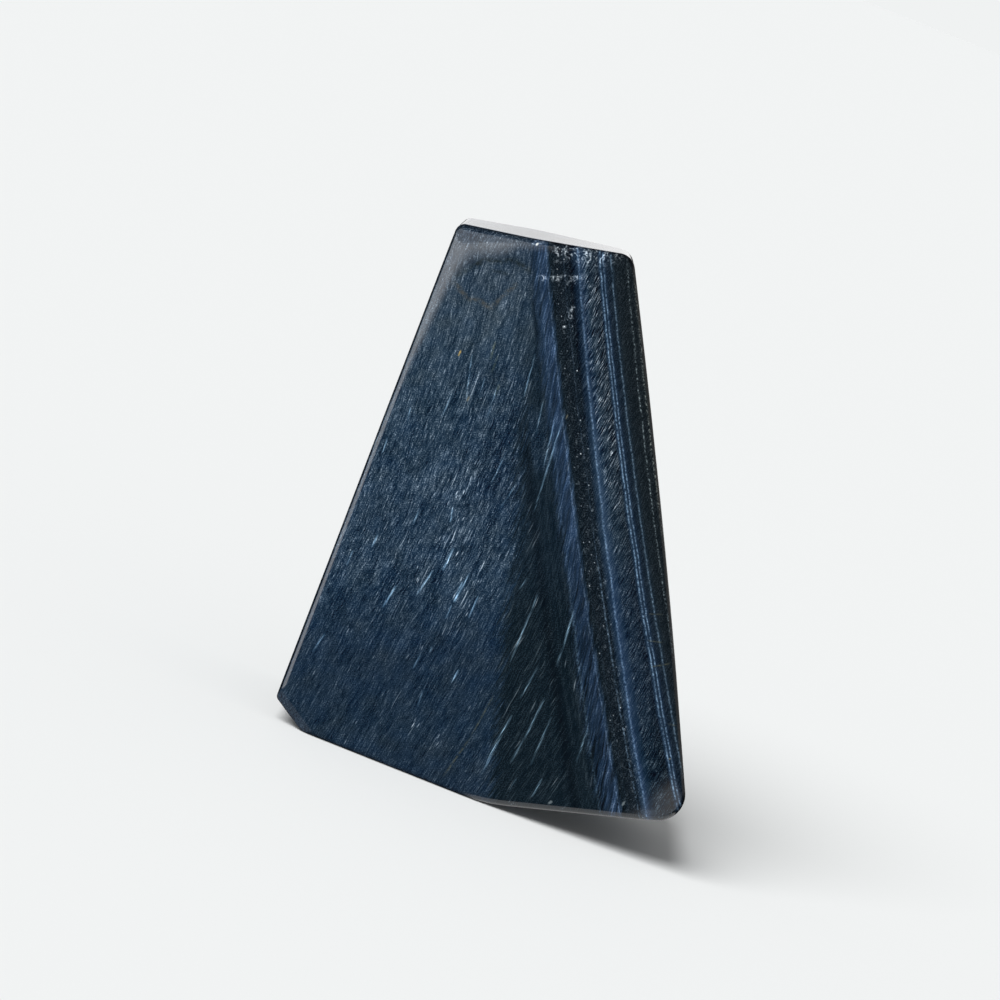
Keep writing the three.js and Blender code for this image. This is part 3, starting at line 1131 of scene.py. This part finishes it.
def stone_material(front_foot):
    material, shader = new_material("blue_tiger_eye", POLISHED_SILK)
    tree = material.node_tree
    groups = {
        "grain": stretched_grain_group(),
        "glints": scattered_glints_group(),
        "streak": long_streak_group(),
        "hairs": curly_hairs_group(),
        "spot": ragged_spot_group(),
    }
    place = stone_place(tree, groups, front_foot)
    specks = grain(place, place.u, 0.18, 0.18, 3.0)
    silk_colour, silk_detail = silk(place, specks)
    dark_colour, dark_detail = dark_wedge(place, specks)
    band_colour, band_detail = bands(place, specks)
    dark_share, band_share = zone_shares(place)
    colour = mixed(dark_share, silk_colour, dark_colour)
    colour = mixed(band_share, colour, band_colour)
    detail = silk_detail + (dark_detail - silk_detail) * dark_share
    detail += (band_detail - detail) * band_share

    strands = (grain(place, place.w, 0.13, 2.4, 75.0) * 6.0 + 0.8).at_least(0.0)
    colour = shifted(colour, streaks(place, PALE_FIBRES) * strands, (96, 114, 126))
    # The mineral stains go on last, with the painted highlight among them.
    colour = stained_and_highlighted(place, shifted(colour, detail))
    # How squarely each place faces front or back, which sets the painted sheen and the side
    # layers.
    kept = node_with(tree, "ShaderNodeAttribute", {}, attribute_name="face_on")
    squareness = Field(tree, kept.outputs["Fac"])
    layers = side_layers(place, squareness)
    # Painted sheen and shade: edges and sides darkened by how little they face front or back.
    levels = placed(tree, painted_sheen_group(), Levels=colour, Squareness=squareness)
    levels = shifted(levels, layers, (22, 33, 44))
    base = placed(tree, base_colour_group(), Levels=levels)
    feed(tree, shader.inputs["Base Color"], base)
    return material


# ------------------------------
# Floor, light, surroundings and camera.
# ------------------------------

FLOOR_SIZE = 80.0

MATT_PAPER = {
    "Base Color": (0.8, 0.815, 0.815, 1.0),
    "Roughness": 1.0,
    "Specular IOR Level": 0.0,
}

# The room as the camera sees it, as it lights matt surfaces, and as polish mirrors it between
# the reflectors.
BACKGROUND = (0.871, 0.888, 0.888)
ROOM_LIGHT = (0.3, 0.3, 0.3)
REFLECTED_ROOM = 0.01

# The window's light: its strength, how wide it looks, and the azimuth and elevation, in
# degrees, that it comes from.
WINDOW_STRENGTH = 3.3
WINDOW_WIDTH = math.radians(40)
WINDOW_DIRECTION = (-45, 50)

CAMERA_DISTANCE = 0.48
CAMERA_ELEVATION = 10
CAMERA_FOCAL_LENGTH = 124.416
CAMERA_SENSOR = 36


def build_floor():
    half = FLOOR_SIZE / 2
    mesh = bpy.data.meshes.new("floor")
    corners = [(-half, -half, 0), (half, -half, 0), (half, half, 0), (-half, half, 0)]
    mesh.from_pydata(corners, [], [(0, 1, 2, 3)])
    mesh.materials.append(new_material("matt_paper", MATT_PAPER)[0])
    floor = added("floor", mesh)
    floor.visible_glossy = False


def aimed(thing, place, target):
    """Put a light or camera at a place, looking at a target."""
    thing.location = place
    away = Vector(target) - Vector(place)
    thing.rotation_euler = away.to_track_quat("-Z", "Y").to_euler()


def direction(azimuth, elevation):
    """A unit vector: degrees from the front towards the right, and degrees upwards."""
    turn, rise = math.radians(azimuth), math.radians(elevation)
    across, forwards = math.sin(turn), math.cos(turn)
    return Vector((across * math.cos(rise), -forwards * math.cos(rise), math.sin(rise)))


def build_window_light():
    """One very soft light from the upper left, the same all over the floor."""
    light = bpy.data.lights.new("window_light", "SUN")
    light.energy = WINDOW_STRENGTH
    light.angle = WINDOW_WIDTH
    window = added("window_light", light)
    aimed(window, direction(*WINDOW_DIRECTION), (0, 0, 0))
    window.visible_glossy = False


# What the polish mirrors, each bright where a direction's x (right), y (back) and z (up) lie
# in these ranges.
Reflector = namedtuple("Reflector", "x y z soft brightness")

REFLECTORS = [
    Reflector((-0.9, -0.12), (-1.1, 0.1), (0.38, 0.85), 0.2, 1.4),  # window
    Reflector((-0.95, -0.22), (-1.1, -0.05), (-0.08, 0.5), 0.12, 3.2),  # left wall
    Reflector((-1.1, 1.1), (0.85, 1.1), (-0.05, 0.5), 0.04, 1.05),  # back wall
    Reflector((0.08, 1.1), (-1.1, 0.8), (-1.1, -0.5), 0.06, 1.15),  # table on the right
    Reflector((-1.1, -0.15), (-1.1, 0.8), (-1.1, -0.3), 0.06, 0.35),  # table on the left
    Reflector((0.4, 1.1), (-0.3, 0.95), (0.1, 0.6), 0.2, 0.3),  # right wall
    Reflector((0.22, 0.7), (-1.1, 0.0), (-0.5, -0.02), 0.2, 1.0),  # low corner on the right
]


def build_surroundings():
    """A pale room for the camera, even light for matt surfaces, and reflectors for polish."""
    world = bpy.data.worlds.new("studio")
    bpy.context.scene.world = world
    world.use_nodes = True
    tree = world.node_tree
    tree.nodes.clear()
    towards = tree.nodes.new("ShaderNodeTexCoord").outputs["Generated"]
    x, y, z = parts_of(tree, towards)
    shines = []
    for reflector in REFLECTORS:
        inside = x.between(*reflector.x, reflector.soft)
        inside *= y.between(*reflector.y, reflector.soft)
        inside *= z.between(*reflector.z, reflector.soft)
        shines.append(inside * reflector.brightness)
    reflected = strongest(shines).at_least(REFLECTED_ROOM)
    path = tree.nodes.new("ShaderNodeLightPath")
    glossy = Field(tree, path.outputs["Is Glossy Ray"])
    seen = Field(tree, path.outputs["Is Camera Ray"])
    level = mixed(glossy, ROOM_LIGHT, vector_of(tree, *even(reflected)))
    level = mixed(seen, level, BACKGROUND)
    backdrop = {"Color": level, "Strength": 1.0}
    shown = node_with(tree, "ShaderNodeBackground", backdrop).outputs[0]
    node_with(tree, "ShaderNodeOutputWorld", {"Surface": shown})


def build_camera(front_foot):
    face = front_foot + FACE_MIDDLE[1] * math.tan(FRONT_LEAN)
    target = Vector((FACE_MIDDLE[0], face, FACE_MIDDLE[1]))
    lens = bpy.data.cameras.new("camera")
    lens.sensor_width = CAMERA_SENSOR
    lens.lens = CAMERA_FOCAL_LENGTH
    lens.clip_start = 0.01
    lens.clip_end = 200
    camera = added("camera", lens)
    bpy.context.scene.camera = camera
    aimed(camera, target + direction(0, CAMERA_ELEVATION) * CAMERA_DISTANCE, target)
    camera.rotation_euler.rotate_axis("Z", GRAIN_TURN)


front_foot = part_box("tiger_eye_stone")[0][1]
build_camera(front_foot)
build_floor()
build_window_light()
build_surroundings()
build_stone(stone_material(front_foot))
bpy.context.scene.view_settings.view_transform = "Standard"
